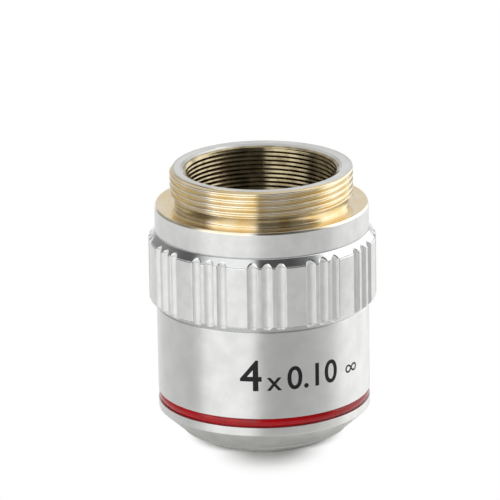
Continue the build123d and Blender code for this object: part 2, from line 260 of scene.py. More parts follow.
def coatedGlass():
    return newMaterial("coated optical glass", {
        "Base Color": linear(glassLook["tint"]), "Roughness": 0.0, "IOR": glassLook["index"],
        "Transmission Weight": 1.0, "Thin Film Thickness": glassLook["filmNanometres"],
        "Thin Film IOR": glassLook["filmIndex"]})[0]


# Engraving filled with black lacquer: flat black with a low sheen
lacquerLook = dict(dark="#0D0D0F", light="#1B1B1E", roughness=0.5, skin=0.3,
                   grainSize=0.15, grainDepth=0.01)


def blackLacquer():
    look = lacquerLook
    material, tree, surface = newMaterial("black engraving lacquer", {
        "Roughness": look["roughness"], "Specular IOR Level": look["skin"]})
    place = addNode(tree, "ShaderNodeTexCoord").outputs["Object"]
    scale = 1 / (look["grainSize"] * mm)
    grain = addNode(tree, "ShaderNodeTexNoise", {"Vector": place, "Scale": scale, "Detail": 2.0})
    tintBy(tree, surface, grain, look["dark"], look["light"])
    bump = addNode(tree, "ShaderNodeBump", {"Height": grain, "Strength": 0.3,
                                            "Distance": look["grainDepth"] * mm})
    tree.links.new(bump.outputs["Normal"], surface.inputs["Normal"])
    return material


finish = {
    "brass": ringedMetal("turned brass", brassLook)[0],
    "thread": threadBrass(),
    "bore": boreBrass(),
    "satin": ringedMetal("satin chromium plate", satinLook)[0],
    "dull": ringedMetal("dull chromium plate", collarLook)[0],
    "bright": ringedMetal("bright chromium plate", brightLook)[0],
    "milled": ringedMetal("milled chromium plate", milledLook)[0],
    "enamel": redEnamel(),
    "black": ringedMetal("blackened brass", blackBrassLook)[0],
    "anodised": ringedMetal("black anodised aluminium", anodLook)[0],
    "glass": coatedGlass(),
    "lacquer": blackLacquer(),
}
print("materials made:", len(finish))


# Turned pieces


def breakCorners(corners, closed):
    # Each corner is (radius, height, size of its edge break, finish of the stretch after it).
    # A break becomes a short arc with one more point beside each end, so that smooth shading
    # stays flat on the faces. The result is a list of (radius, height, finish).
    softness = 4  # steps in an arc
    reach = 1.8  # how far the extra points lie from the corner, in breaks
    points = []
    for i, (radius, height, size, look) in enumerate(corners):
        here = Vector((radius, height))
        ends = not closed and i in (0, len(corners) - 1)
        if ends or size == 0:
            points.append((radius, height, look))
            continue
        before = Vector(corners[i - 1][:2])
        after = Vector(corners[(i + 1) % len(corners)][:2])
        arrive = (before - here).normalized()
        leave = (after - here).normalized()
        arriving = corners[i - 1][3]
        start = here + arrive * size
        stop = here + leave * size
        points.append((*(here + arrive * size * reach), arriving))
        for step in range(softness + 1):
            t = step / softness
            spot = start * (1 - t) ** 2 + here * 2 * t * (1 - t) + stop * t ** 2
            points.append((*spot, arriving if t < 0.5 else look))
        points.append((*(here + leave * size * reach), look))
    return points


def ringOf(bm, radius, height, steps=columns):
    if radius < 1e-6:
        return [bm.verts.new((0, 0, height * mm))] * steps
    ring = []
    for step in range(steps):
        angle = step / steps * math.tau
        spot = Vector((radius * math.cos(angle), radius * math.sin(angle), height))
        ring.append(bm.verts.new(spot * mm))
    return ring


def joinRings(bm, first, second, slot):
    for step in range(len(first)):
        after = (step + 1) % len(first)
        corners = [first[step], first[after], second[after], second[step]]
        unique = [v for i, v in enumerate(corners) if v not in corners[:i]]
        if len(unique) > 2:
            face = bm.faces.new(unique)
            face.material_index = slot
            face.smooth = True


def finishMesh(bm, name, looks):
    bmesh.ops.recalc_face_normals(bm, faces=bm.faces)
    mesh = bpy.data.meshes.new(name)
    bm.to_mesh(mesh)
    bm.free()
    for look in looks:
        mesh.materials.append(finish[look])
    return mesh


def turnedMesh(name, corners, closed=True, steps=columns):
    looks = sorted({corner[3] for corner in corners if corner[3]})
    bm = bmesh.new()
    points = breakCorners(corners, closed)
    rings = [ringOf(bm, radius, height, steps) for radius, height, look in points]
    count = len(rings) if closed else len(rings) - 1
    for i in range(count):
        joinRings(bm, rings[i], rings[(i + 1) % len(rings)], looks.index(points[i][2]))
    return finishMesh(bm, name, looks)


def placePiece(mesh, name, slotName, *nodes):
    piece = bpy.data.objects.new(name, mesh)
    bpy.context.scene.collection.objects.link(piece)
    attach(piece, "root")
    if nodes:
        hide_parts(*nodes)
    return piece


# Geometry Nodes for what follows a rule


def newTree(name, sizes, base=False):
    tree = bpy.data.node_groups.new(name, "GeometryNodeTree")
    if base:
        tree.interface.new_socket("Geometry", in_out="INPUT", socket_type="NodeSocketGeometry")
    kinds = {int: "NodeSocketInt", float: "NodeSocketFloat", bpy.types.Material: "NodeSocketMaterial"}
    for label, value in sizes.items():
        tree.interface.new_socket(label, in_out="INPUT", socket_type=kinds[type(value)])
    tree.interface.new_socket("Geometry", in_out="OUTPUT", socket_type="NodeSocketGeometry")
    return tree


def growMesh(name, tree, sizes, base=None):
    carrier = bpy.data.objects.new(name, base or bpy.data.meshes.new(name))
    bpy.context.scene.collection.objects.link(carrier)
    modifier = carrier.modifiers.new(name, "NODES")
    modifier.node_group = tree
    for item in tree.interface.items_tree:
        if item.in_out == "INPUT" and item.name in sizes:
            modifier[item.identifier] = sizes[item.name]
    bpy.context.view_layer.update()
    depsgraph = bpy.context.evaluated_depsgraph_get()
    mesh = bpy.data.meshes.new_from_object(carrier.evaluated_get(depsgraph))
    carrier.modifiers.clear()
    bpy.data.objects.remove(carrier)
    mesh.name = name
    return mesh


outerThread = {"Crest Radius": 10.135, "Root Radius": 9.683, "Pitch": 25.4 / 36,
               "Crest Share": 0.06, "Root Share": 0.44, "Side": 1.0, "Start": 0.25,
               "Bottom": 27.80, "Bottom Radius": 9.835, "Bottom Slope": 1.0,
               "Top": rimLevel, "Top Radius": 10.055, "Top Slope": 0.667,
               "Burr": 0.02, "Burr Height": 1 / 9, "Rows per Pitch": 16, "Columns": columns,
               "Finish": finish["thread"]}
innerThread = {"Crest Radius": 8.23, "Root Radius": 8.36, "Pitch": 0.5,
               "Crest Share": 0.0, "Root Share": 0.44, "Side": -1.0, "Start": 0.0,
               "Bottom": 19.60, "Bottom Radius": 8.23, "Bottom Slope": 0.0,
               "Top": rimLevel, "Top Radius": 8.95, "Top Slope": -1.8,
               "Burr": 0.002, "Burr Height": 1 / 9, "Rows per Pitch": 8, "Columns": columns,
               "Finish": finish["bore"]}


def threadTree():
    # A right-hand thread as a sheet that is rolled round the axis. Its rows climb one pitch per
    # turn, so each row keeps to its own place on the thread form. Heights past the ends are
    # held at the ends, where the doubles merge. Side is 1 outside a shaft and -1 in a bore, and
    # Start is the share of a turn by which the crest is turned. The flank falls between Crest
    # Share and Root Share, which are shares of a pitch counted from the crest's middle.
    tree = newTree("thread", outerThread)
    size = addNode(tree, "NodeGroupInput").outputs
    rowHeight = addNode(tree, "ShaderNodeMath", [size["Pitch"], size["Rows per Pitch"]],
                        operation="DIVIDE")
    length = addNode(tree, "ShaderNodeMath", [size["Top"], size["Bottom"]], operation="SUBTRACT")
    fitting = addNode(tree, "ShaderNodeMath", [length, rowHeight], operation="DIVIDE")
    whole = addNode(tree, "ShaderNodeMath", [fitting], operation="CEIL")
    rows = addNode(tree, "ShaderNodeMath", [whole, size["Rows per Pitch"]], operation="ADD")
    rowPoints = addNode(tree, "ShaderNodeMath", [rows, 1.0], operation="ADD")
    columnPoints = addNode(tree, "ShaderNodeMath", [size["Columns"], 1.0], operation="ADD")
    sheet = addNode(tree, "GeometryNodeMeshGrid", {"Size X": 1.0, "Size Y": 1.0,
                                                   "Vertices X": columnPoints, "Vertices Y": rowPoints})
    spot = addNode(tree, "ShaderNodeSeparateXYZ", [addNode(tree, "GeometryNodeInputPosition")]).outputs
    turn = addNode(tree, "ShaderNodeMath", [spot["X"], 0.5], operation="ADD")
    rowShare = addNode(tree, "ShaderNodeMath", [spot["Y"], 0.5], operation="ADD")
    row = addNode(tree, "ShaderNodeMath", [rowShare, rows], operation="MULTIPLY")
    climb = addNode(tree, "ShaderNodeMath", [row, rowHeight, size["Bottom"]], operation="MULTIPLY_ADD")
    lead = addNode(tree, "ShaderNodeMath", [turn, 1.0], operation="SUBTRACT")
    freeHeight = addNode(tree, "ShaderNodeMath", [lead, size["Pitch"], climb], operation="MULTIPLY_ADD")
    height = addNode(tree, "ShaderNodeClamp", [freeHeight, size["Bottom"], size["Top"]])

    over = addNode(tree, "ShaderNodeMath", [height, size["Bottom"]], operation="SUBTRACT")
    under = addNode(tree, "ShaderNodeMath", [size["Top"], height], operation="SUBTRACT")
    turns = addNode(tree, "ShaderNodeMath", [over, size["Pitch"]], operation="DIVIDE")
    crest = addNode(tree, "ShaderNodeMath", [turn, size["Start"]], operation="ADD")
    phase = addNode(tree, "ShaderNodeMath", [turns, crest], operation="SUBTRACT")
    fold = addNode(tree, "ShaderNodeMath", [phase, 0.5], operation="PINGPONG")
    form = addNode(tree, "ShaderNodeMapRange", {
        "Value": fold, "From Min": size["Crest Share"], "From Max": size["Root Share"],
        "To Min": size["Crest Radius"], "To Max": size["Root Radius"]}, interpolation_type="SMOOTHSTEP")
    topLimit = addNode(tree, "ShaderNodeMath", [under, size["Top Slope"], size["Top Radius"]],
                       operation="MULTIPLY_ADD")
    bottomLimit = addNode(tree, "ShaderNodeMath", [over, size["Bottom Slope"], size["Bottom Radius"]],
                          operation="MULTIPLY_ADD")
    signed = [addNode(tree, "ShaderNodeMath", [size["Side"], limit], operation="MULTIPLY")
              for limit in (form, topLimit, bottomLimit)]
    lower = addNode(tree, "ShaderNodeMath", signed[:2], operation="MINIMUM")
    lowest = addNode(tree, "ShaderNodeMath", [lower, signed[2]], operation="MINIMUM")
    radius = addNode(tree, "ShaderNodeMath", [lowest, size["Side"]], operation="MULTIPLY")

    angle = addNode(tree, "ShaderNodeMath", [turn, math.tau], operation="MULTIPLY")
    cosine = addNode(tree, "ShaderNodeMath", [angle], operation="COSINE")
    sine = addNode(tree, "ShaderNodeMath", [angle], operation="SINE")
    around = addNode(tree, "ShaderNodeCombineXYZ", [cosine, sine, height])
    burrs = addNode(tree, "ShaderNodeMath", [1.0, size["Burr Height"]], operation="DIVIDE")
    grain = addNode(tree, "ShaderNodeTexNoise", {"Vector": around, "Scale": burrs, "Detail": 3.0})
    uneven = addNode(tree, "ShaderNodeMath", [grain, 0.5], operation="SUBTRACT")
    rough = addNode(tree, "ShaderNodeMath", [uneven, size["Burr"], radius], operation="MULTIPLY_ADD")
    x = addNode(tree, "ShaderNodeMath", [cosine, rough], operation="MULTIPLY")
    y = addNode(tree, "ShaderNodeMath", [sine, rough], operation="MULTIPLY")
    spotNow = addNode(tree, "ShaderNodeCombineXYZ", [x, y, height])
    inMetres = addNode(tree, "ShaderNodeVectorMath", {0: spotNow, "Scale": mm}, operation="SCALE")
    rolled = addNode(tree, "GeometryNodeSetPosition", {"Geometry": sheet, "Position": inMetres})
    merged = addNode(tree, "GeometryNodeMergeByDistance", {"Geometry": rolled, "Distance": 0.001 * mm})
    real = addNode(tree, "GeometryNodeRealizeInstances", [merged])
    painted = addNode(tree, "GeometryNodeSetMaterial", {"Geometry": real, "Material": size["Finish"]})
    addNode(tree, "NodeGroupOutput", [painted])
    return tree


# Mount body: two threads from the tree, joined by turned faces into one closed solid
bodySizes = dict(edge=0.05, fine=0.03, crisp=0.02, fillet=0.08, faceOuter=9.60, faceInner=9.03,
                 neck=9.60, seat=10.30, seatRelief=0.05, shoulderLevel=26.84, chamferWidth=0.15,
                 chamferHeight=0.25, jointChamfer=0.10, spigot=10.60, leadIn=0.25, ledgeLevel=17.03,
                 guideBore=7.25, plainBore=0.1, ringTolerance=0.002)


def buildMountBody():
    tree = threadTree()
    looks = ["thread", "bore", "brass", "satin", "dull"]
    size = bodySizes
    edge, fine, crisp = size["edge"], size["fine"], size["crisp"]
    bm = bmesh.new()
    rings = {}
    for name, thread in (("outer", outerThread), ("inner", innerThread)):
        sheet = growMesh(name + " thread", tree, thread)
        bm.from_mesh(sheet)
        bpy.data.meshes.remove(sheet)
    bm.verts.ensure_lookup_table()
    between = (outerThread["Root Radius"] + innerThread["Top Radius"]) / 2 * mm
    isOuter = {v: v.co.xy.length > between for v in bm.verts}
    for face in bm.faces:
        face.smooth = True
        face.material_index = 0 if isOuter[face.verts[0]] else 1
    tolerance = size["ringTolerance"] * mm
    for name, thread, outer in (("outer", outerThread, True), ("inner", innerThread, False)):
        for end in ("Top", "Bottom"):
            ring = [None] * columns
            for v in bm.verts:
                atEnd = abs(v.co.z - thread[end] * mm) < tolerance
                if isOuter[v] == outer and v.is_boundary and atEnd:
                    ring[round(math.atan2(v.co.y, v.co.x) / math.tau * columns) % columns] = v
            rings[name, end] = ring

    face = [(size["faceOuter"], rimLevel, 0, "satin"), (size["faceInner"], rimLevel, 0, "satin")]
    wall = [
        (size["neck"], outerThread["Bottom"], 0, "brass"),
        (size["neck"], size["shoulderLevel"] - size["seatRelief"], size["fillet"], "thread"),
        (size["seat"], size["shoulderLevel"] - size["seatRelief"], crisp, "thread"),
        (size["seat"], size["shoulderLevel"], crisp, "thread"),
        (collarRadius - size["chamferWidth"], size["shoulderLevel"], edge, "brass"),
        (collarRadius, size["shoulderLevel"] - size["chamferHeight"], edge, "dull"),
        (collarRadius, collarLevel + size["jointChamfer"], fine, "dull"),
        (collarRadius - size["jointChamfer"], collarLevel, crisp, "brass"),
        (size["spigot"], collarLevel, 0, "brass"),
        (size["spigot"], spigotLevel + size["leadIn"], edge, "brass"),
        (size["spigot"] - size["leadIn"], spigotLevel, edge, "brass"),
        (size["guideBore"], spigotLevel, edge, "brass"),
        (size["guideBore"], size["ledgeLevel"], edge, "brass"),
        (innerThread["Crest Radius"], size["ledgeLevel"], fine, "brass"),
        (innerThread["Crest Radius"], innerThread["Bottom"] - size["plainBore"], 0, "brass"),
    ]
    for end, corners in (("Top", face), ("Bottom", wall)):
        points = breakCorners(corners, False)
        made = [ringOf(bm, radius, height) for radius, height, look in points]
        slots = [looks.index(points[0][2])] + [looks.index(point[2]) for point in points]
        chain = [rings["outer", end], *made, rings["inner", end]]
        for i in range(len(chain) - 1):
            joinRings(bm, chain[i], chain[i + 1], slots[i])
    mesh = finishMesh(bm, "mountBody", looks)
    return placePiece(mesh, "mountBody", "bare_brass", "mount_body")


mountBody = buildMountBody()
print("mount body:", len(mountBody.data.polygons), "faces")


# Grip ring: a turned ring that the flutes tree mills
ringSizes = dict(edge=0.06, landLevel=16.30, landTopLevel=22.96, bore=10.63, bevelRows=12,
                 steps=1080, fluteDepth=0.42, cutter=0.54)
cutterPlace = gripRadius - ringSizes["fluteDepth"] + ringSizes["cutter"]
fluteSizes = {"Groups": 12, "Flutes per Group": 3, "Step Degrees": 7.15, "Turn Degrees": -88.0,
              "Cutter Radius": ringSizes["cutter"], "Centre Radius": cutterPlace,
              "Edge Break": 0.06, "Flute Finish": finish["milled"]}


def flutesTree():
    # Each vertex is folded into its group, then to its nearest flute, and pulled in to the
    # cutter's circle where that lies below the ring's own surface
    tree = newTree("flutes", fluteSizes, base=True)
    size = addNode(tree, "NodeGroupInput").outputs
    position = addNode(tree, "GeometryNodeInputPosition")
    inMm = addNode(tree, "ShaderNodeVectorMath", {0: position, "Scale": 1 / mm}, operation="SCALE")
    spot = addNode(tree, "ShaderNodeSeparateXYZ", [inMm]).outputs
    flat = addNode(tree, "ShaderNodeCombineXYZ", [spot["X"], spot["Y"], 0.0])
    radius = addNode(tree, "ShaderNodeVectorMath", [flat], operation="LENGTH").outputs["Value"]
    angle = addNode(tree, "ShaderNodeMath", [spot["Y"], spot["X"]], operation="ARCTAN2")
    start = addNode(tree, "ShaderNodeMath", [size["Turn Degrees"]], operation="RADIANS")
    turned = addNode(tree, "ShaderNodeMath", [angle, start], operation="SUBTRACT")
    halfGroup = addNode(tree, "ShaderNodeMath", [math.pi, size["Groups"]], operation="DIVIDE")
    minusHalf = addNode(tree, "ShaderNodeMath", [halfGroup, -1.0], operation="MULTIPLY")
    inGroup = addNode(tree, "ShaderNodeMath", [turned, halfGroup, minusHalf], operation="WRAP")
    step = addNode(tree, "ShaderNodeMath", [size["Step Degrees"]], operation="RADIANS")
    lastFlute = addNode(tree, "ShaderNodeMath", [size["Flutes per Group"], 1.0], operation="SUBTRACT")
    outermost = addNode(tree, "ShaderNodeMath", [lastFlute, 0.5], operation="MULTIPLY")
    minusOutermost = addNode(tree, "ShaderNodeMath", [outermost, -1.0], operation="MULTIPLY")
    steps = addNode(tree, "ShaderNodeMath", [inGroup, step], operation="DIVIDE")
    nearest = addNode(tree, "ShaderNodeMath", [steps], operation="ROUND")
    held = addNode(tree, "ShaderNodeClamp", [nearest, minusOutermost, outermost])
    fluteAngle = addNode(tree, "ShaderNodeMath", [held, step], operation="MULTIPLY")
    off = addNode(tree, "ShaderNodeMath", [inGroup, fluteAngle], operation="SUBTRACT")

    cosine = addNode(tree, "ShaderNodeMath", [off], operation="COSINE")
    sine = addNode(tree, "ShaderNodeMath", [off], operation="SINE")
    ahead = addNode(tree, "ShaderNodeMath", [size["Centre Radius"], cosine], operation="MULTIPLY")
    aside = addNode(tree, "ShaderNodeMath", [size["Centre Radius"], sine], operation="MULTIPLY")
    asideSquare = addNode(tree, "ShaderNodeMath", [aside, aside], operation="MULTIPLY")
    cutterSquare = addNode(tree, "ShaderNodeMath", [size["Cutter Radius"], 2.0], operation="POWER")
    left = addNode(tree, "ShaderNodeMath", [cutterSquare, asideSquare], operation="SUBTRACT")
    inCutter = addNode(tree, "ShaderNodeMath", [left, 0.0], operation="GREATER_THAN")
    leftHeld = addNode(tree, "ShaderNodeMath", [left, 0.0], operation="MAXIMUM")
    half = addNode(tree, "ShaderNodeMath", [leftHeld], operation="SQRT")
    cut = addNode(tree, "ShaderNodeMath", [ahead, half], operation="SUBTRACT")
    clear = addNode(tree, "ShaderNodeMath", [size["Centre Radius"], size["Cutter Radius"]],
                    operation="ADD")
    cutRadius = addNode(tree, "GeometryNodeSwitch", {"Switch": inCutter, "False": clear, "True": cut},
                        input_type="FLOAT")
    newRadius = addNode(tree, "ShaderNodeMath", [radius, cutRadius, size["Edge Break"]],
                        operation="SMOOTH_MIN")
    share = addNode(tree, "ShaderNodeMath", [newRadius, radius], operation="DIVIDE")
    moved = addNode(tree, "ShaderNodeVectorMath", {0: flat, "Scale": share}, operation="SCALE")
    upright = addNode(tree, "ShaderNodeCombineXYZ", {"Z": spot["Z"]})
    whole = addNode(tree, "ShaderNodeVectorMath", [moved, upright], operation="ADD")
    inMetres = addNode(tree, "ShaderNodeVectorMath", {0: whole, "Scale": mm}, operation="SCALE")
    milled = addNode(tree, "GeometryNodeSetPosition", {"Geometry": size["Geometry"],
                                                       "Position": inMetres})
    real = addNode(tree, "GeometryNodeRealizeInstances", [milled])
    hollow = addNode(tree, "FunctionNodeCompare", {"A": radius, "B": cutRadius}, operation="GREATER_THAN")
    painted = addNode(tree, "GeometryNodeSetMaterial", {"Geometry": real, "Selection": hollow,
                                                        "Material": size["Flute Finish"]})
    addNode(tree, "NodeGroupOutput", [painted])
    return tree


def buildGripRing():
    size = ringSizes
    edge = size["edge"]

    def bevel(start, stop, look):
        # Extra points down a bevel, so that the flutes can run out in it
        rows = size["bevelRows"]
        width, rise = stop[0] - start[0], stop[1] - start[1]
        return [(start[0] + width * i / rows, start[1] + rise * i / rows, 0, look)
                for i in range(1, rows)]

    low, land = (barrelRadius, gripLevel), (gripRadius, size["landLevel"])
    landTop, high = (gripRadius, size["landTopLevel"]), (collarRadius, collarLevel)
    corners = [
        (size["bore"], gripLevel, 0, "satin"), (*low, 0, "bright"), *bevel(low, land, "bright"),
        (*land, edge, "dull"), (*landTop, edge, "bright"), *bevel(landTop, high, "bright"),
        (*high, 0, "satin"), (size["bore"], collarLevel, 0, "satin"),
    ]
    base = turnedMesh("gripRing", corners, steps=size["steps"])
    mesh = growMesh("gripRing", flutesTree(), fluteSizes, base)
    return placePiece(mesh, "gripRing", "satin_chrome", "grip_ring")


gripRing = buildGripRing()
print("grip ring:", len(gripRing.data.polygons), "faces")


# Outer barrel with the colour groove, the front band and the coned nose
barrelSizes = dict(edge=0.07, fine=0.03, crisp=0.02, groove=11.45, coneTop=3.53, coneBottom=1.20,
                   coneEnd=9.30, noseLand=0.10, noseDraft=0.02, face=7.00, opening=5.80, lip=1.00,
                   noseBore=7.35, sleeveBore=10.63, relief=10.10, reliefBottom=5.13, innerCone=2.567,
                   socket=7.70, jointChamfer=0.10, leadIn=0.25)


def buildBarrel():
    size = barrelSizes
    edge, fine, crisp = size["edge"], size["fine"], size["crisp"]
    corners = [
        (size["opening"], 0, edge, "satin"),
        (size["face"], 0, edge, "satin"),
        (size["coneEnd"], size["coneBottom"], crisp, "bright"),
        (size["coneEnd"] + size["noseDraft"], size["coneBottom"] + size["noseLand"], crisp, "satin"),
        (barrelRadius, size["coneTop"], edge, "satin"),
        (barrelRadius, grooveLevel, fine, "satin"),
        (size["groove"], grooveLevel, fine, "satin"),
        (size["groove"], barrelLevel, fine, "satin"),
        (barrelRadius, barrelLevel, fine, "satin"),
        (barrelRadius, gripLevel - size["jointChamfer"], fine, "satin"),
        (barrelRadius - size["jointChamfer"], gripLevel, fine, "satin"),
        (size["sleeveBore"] + size["leadIn"], gripLevel, fine, "satin"),
        (size["sleeveBore"], gripLevel - size["leadIn"], fine, "satin"),
        (size["sleeveBore"], size["socket"], 0, "satin"),
        (size["relief"], size["socket"], 0, "satin"),
        (size["relief"], size["reliefBottom"], 0, "satin"),
        (size["noseBore"], size["innerCone"], 0, "satin"),
        (size["noseBore"], size["lip"], 0, "satin"),
        (size["opening"], size["lip"], fine, "satin"),
    ]
    return placePiece(turnedMesh("barrel", corners), "barrel", "satin_chrome", "outer_barrel")


bandSizes = dict(floor=11.46, edge=11.52, crown=11.73, steps=16)  # radii, and steps over the height


def buildBand():
    # Enamel meets the groove's edges low and stands up between them by surface tension
    size = bandSizes
    corners = [(size["floor"], grooveLevel, 0, "enamel")]
    for i in range(size["steps"] + 1):
        t = i / size["steps"]
        rise = 1 - (2 * t - 1) ** 2
        radius = size["edge"] + (size["crown"] - size["edge"]) * rise
        corners.append((radius, grooveLevel + (barrelLevel - grooveLevel) * t, 0, "enamel"))
    corners.append((size["floor"], barrelLevel, 0, "enamel"))
    return placePiece(turnedMesh("colourBand", corners), "colourBand", "red_enamel", "colour_band")


barrel = buildBarrel()
colourBand = buildBand()
print("barrel:", len(barrel.data.polygons), "faces, and colour band:", len(colourBand.data.polygons))


# Numerals: plain figures cut into the barrel and filled, wrapped round it at their own places.
# Left and base are the place of a mark's lower left corner on the unrolled barrel, and weight
# is how far its outline moves outwards. Each is cut into slices, so that it bends with the wall.
markSizes = dict(base=8.82, depth=0.05, proud=0.012, slice=0.25)
marks = [
    dict(text="4", height=3.42, left=-2.62, weight=0.06),
    dict(text="x", height=1.45, left=0.30, weight=0.02),
    dict(text="0.10", height=2.58, left=2.60, weight=0.05),
    dict(text="∞", height=0.95, left=10.16, base=9.2, weight=0.0),
]


def widen(bm, amount):
    # Heavier strokes: every point of the outline moves outwards, further at corners
    moves = {}
    for edge in bm.edges:
        if edge.is_boundary:
            first, second = edge.verts
            along = (second.co - first.co).normalized()
            out = Vector((along.y, -along.x, 0))
            if (edge.link_faces[0].calc_center_median() - first.co).dot(out) > 0:
                out.negate()
            for v in edge.verts:
                moves[v] = moves.get(v, Vector()) + out
    for v, total in moves.items():
        v.co += total * amount * 2 / max(total.length_squared, 1)


def buildMark(mark, number):
    name = "numeral%d" % number
    curve = bpy.data.curves.new(name, "FONT")
    curve.body = mark["text"]
    curve.resolution_u = 6
    carrier = bpy.data.objects.new(name, curve)
    bpy.context.scene.collection.objects.link(carrier)
    bpy.context.view_layer.update()
    depsgraph = bpy.context.evaluated_depsgraph_get()
    flat = bpy.data.meshes.new_from_object(carrier.evaluated_get(depsgraph))
    bpy.data.objects.remove(carrier)
    xs = [v.co.x for v in flat.vertices]
    ys = [v.co.y for v in flat.vertices]
    scale = mark["height"] / (max(ys) - min(ys))
    bm = bmesh.new()
    bm.from_mesh(flat)
    bmesh.ops.remove_doubles(bm, verts=bm.verts, dist=1e-5)
    for v in bm.verts:
        v.co = Vector(((v.co.x - min(xs)) * scale + mark["left"],
                       (v.co.y - min(ys)) * scale + mark.get("base", markSizes["base"]), 0))
    widen(bm, mark["weight"])
    cuts = int((max(xs) - min(xs)) * scale / markSizes["slice"])
    for i in range(1, cuts + 1):
        everything = bm.verts[:] + bm.edges[:] + bm.faces[:]
        spot = (mark["left"] + i * markSizes["slice"], 0, 0)
        bmesh.ops.bisect_plane(bm, geom=everything, plane_co=spot, plane_no=(1, 0, 0), dist=1e-5)
    front = bm.faces[:]
    made = bmesh.ops.extrude_face_region(bm, geom=front)["geom"]
    for item in made:
        if isinstance(item, bmesh.types.BMVert):
            item.co.z = markSizes["proud"] + markSizes["depth"]
    bmesh.ops.recalc_face_normals(bm, faces=bm.faces)
    for v in bm.verts:
        angle = v.co.x / barrelRadius
        radius = barrelRadius - markSizes["depth"] + v.co.z
        v.co = Vector((radius * math.sin(angle), -radius * math.cos(angle), v.co.y)) * mm
    mesh = finishMesh(bm, name, ["lacquer"])
    return placePiece(mesh, name, "satin_chrome")


numerals = [buildMark(mark, i + 1) for i, mark in enumerate(marks)]
print("numerals made:", len(numerals))


# Inner pieces that keep their CAD form get their real finish
innerFinish = dict(
    lens_tube="black", lock_ring="black", front_cell="black", front_retaining_ring="black",
    rear_retaining_ring="black", parfocal_spacer="brass", parfocal_shim="brass",
    front_spacer="anodised", aperture_stop="anodised", middle_spacer="anodised",
    rear_spacer="anodised", front_lens="glass", negative_lens="glass", doublet_flint="glass",
    doublet_crown="glass", rear_lens="glass")
for node, look in innerFinish.items():
    slots = frame["nodes"][node].material_slots
    for slot in slots:
        slot.material = finish[look]
print("inner pieces finished:", len(innerFinish))


# Studio


# What the metal mirrors, in layers from the table to the ceiling: white panels with dark
# gaps between them. Each layer takes over between the two elevations in its ends. A stop is
# (degrees from the camera's side towards the right, brightness), and the first is at -180.
studio = [
    dict(name="table", ends=(-90, -80),
         stops=[(-180, 1.0), (-165, 1.0), (-140, 0.78), (-110, 0.74), (-88, 0.66), (-76, 0.66),
                (-66, 1.0), (-12, 1.0), (-3, 0.58), (20, 0.57), (60, 0.64), (84, 0.8), (104, 1.1),
                (150, 1.1), (158, 0.93), (168, 1.0), (180, 1.0)]),
    dict(name="panels", ends=(-8, 6),
         stops=[(-180, 0.88), (-158, 0.6), (-147, 0.34), (-139, 0.32), (-80, 0.32), (-67, 1.8),
                (-10, 1.8), (-3, 0.07), (40, 0.07), (66, 0.16), (76, 0.26), (88, 1.7), (149, 1.6),
                (157, 0.6), (168, 0.75), (180, 0.88)]),
    dict(name="upper panels", ends=(20, 34),
         stops=[(-180, 0.8), (-136, 0.75), (-124, 0.14), (-100, 0.13), (-90, 0.13), (-68, 1.1),
                (-17, 1.1), (-4, 0.08), (40, 0.08), (60, 0.18), (70, 0.3), (84, 1.5), (142, 1.4),
                (151, 0.8), (180, 0.8)]),
    dict(name="overhead panel", ends=(60, 72), stops=[(-180, 0.7)]),
]


def buildWorld():
    world = bpy.data.worlds.new("studio")
    bpy.context.scene.world = world
    world.use_nodes = True
    tree = world.node_tree
    tree.nodes.clear()
    look = addNode(tree, "ShaderNodeTexCoord").outputs["Generated"]
    spot = addNode(tree, "ShaderNodeSeparateXYZ", [look]).outputs
    behind = addNode(tree, "ShaderNodeMath", [spot["Y"], -1.0], operation="MULTIPLY")
    azimuth = addNode(tree, "ShaderNodeMath", [spot["X"], behind], operation="ARCTAN2")
    share = addNode(tree, "ShaderNodeMapRange", {"Value": azimuth, "From Min": -math.pi,
                                                 "From Max": math.pi})
    rise = addNode(tree, "ShaderNodeMath", [spot["Z"]], operation="ARCSINE")
    room = None
    for layer in studio:
        low, high = [math.radians(angle) for angle in layer["ends"]]
        ramp = addNode(tree, "ShaderNodeValToRGB", [share])
        elements = ramp.color_ramp.elements
        while len(elements) > 1:
            elements.remove(elements[-1])
        for i, (degrees, level) in enumerate(layer["stops"]):
            position = (degrees + 180) / 360
            element = elements[0] if i == 0 else elements.new(position)
            element.position = position
            element.color = (level, level, level, 1)
        lift = addNode(tree, "ShaderNodeMapRange", {"Value": rise, "From Min": low, "From Max": high})
        mix = addNode(tree, "ShaderNodeMix", data_type="RGBA")
        tree.links.new(lift.outputs["Result"], mix.inputs["Factor"])
        if room:
            tree.links.new(room.outputs["Result"], mix.inputs["A"])
        tree.links.new(ramp.outputs["Color"], mix.inputs["B"])
        room = mix
    roomLight = addNode(tree, "ShaderNodeBackground", {"Color": room.outputs["Result"], "Strength": 1.0})
    backdrop = addNode(tree, "ShaderNodeBackground", {"Color": (1, 1, 1, 1), "Strength": 1.0})
    # The backdrop is white to the eye and through the lenses; metal mirrors the panels before it
    ray = addNode(tree, "ShaderNodeLightPath").outputs
    straight = addNode(tree, "ShaderNodeMath", [ray["Is Camera Ray"], ray["Is Transmission Ray"]],
                       operation="MAXIMUM")
    both = addNode(tree, "ShaderNodeMixShader", [straight, roomLight, backdrop])
    addNode(tree, "ShaderNodeOutputWorld", {"Surface": both})


# Each fade has a centre, a stretch of its plane and the two radii between which it runs
floorSizes = dict(radius=160.0, steps=96, drop=0.01, colour="#F4F4F2", glow=0.02, fades=dict(
    mirror=dict(centre=(0, 0, 0), stretch=(1, 1, 1), ends=(13.0, 20.0)),
    contact=dict(centre=(0, 0, 0), stretch=(1, 1, 1), ends=(6.8, 9.0)),
    shadow=dict(centre=(0.5, -5.0, 0), stretch=(1.5, 1, 1), ends=(3.0, 10.5))))


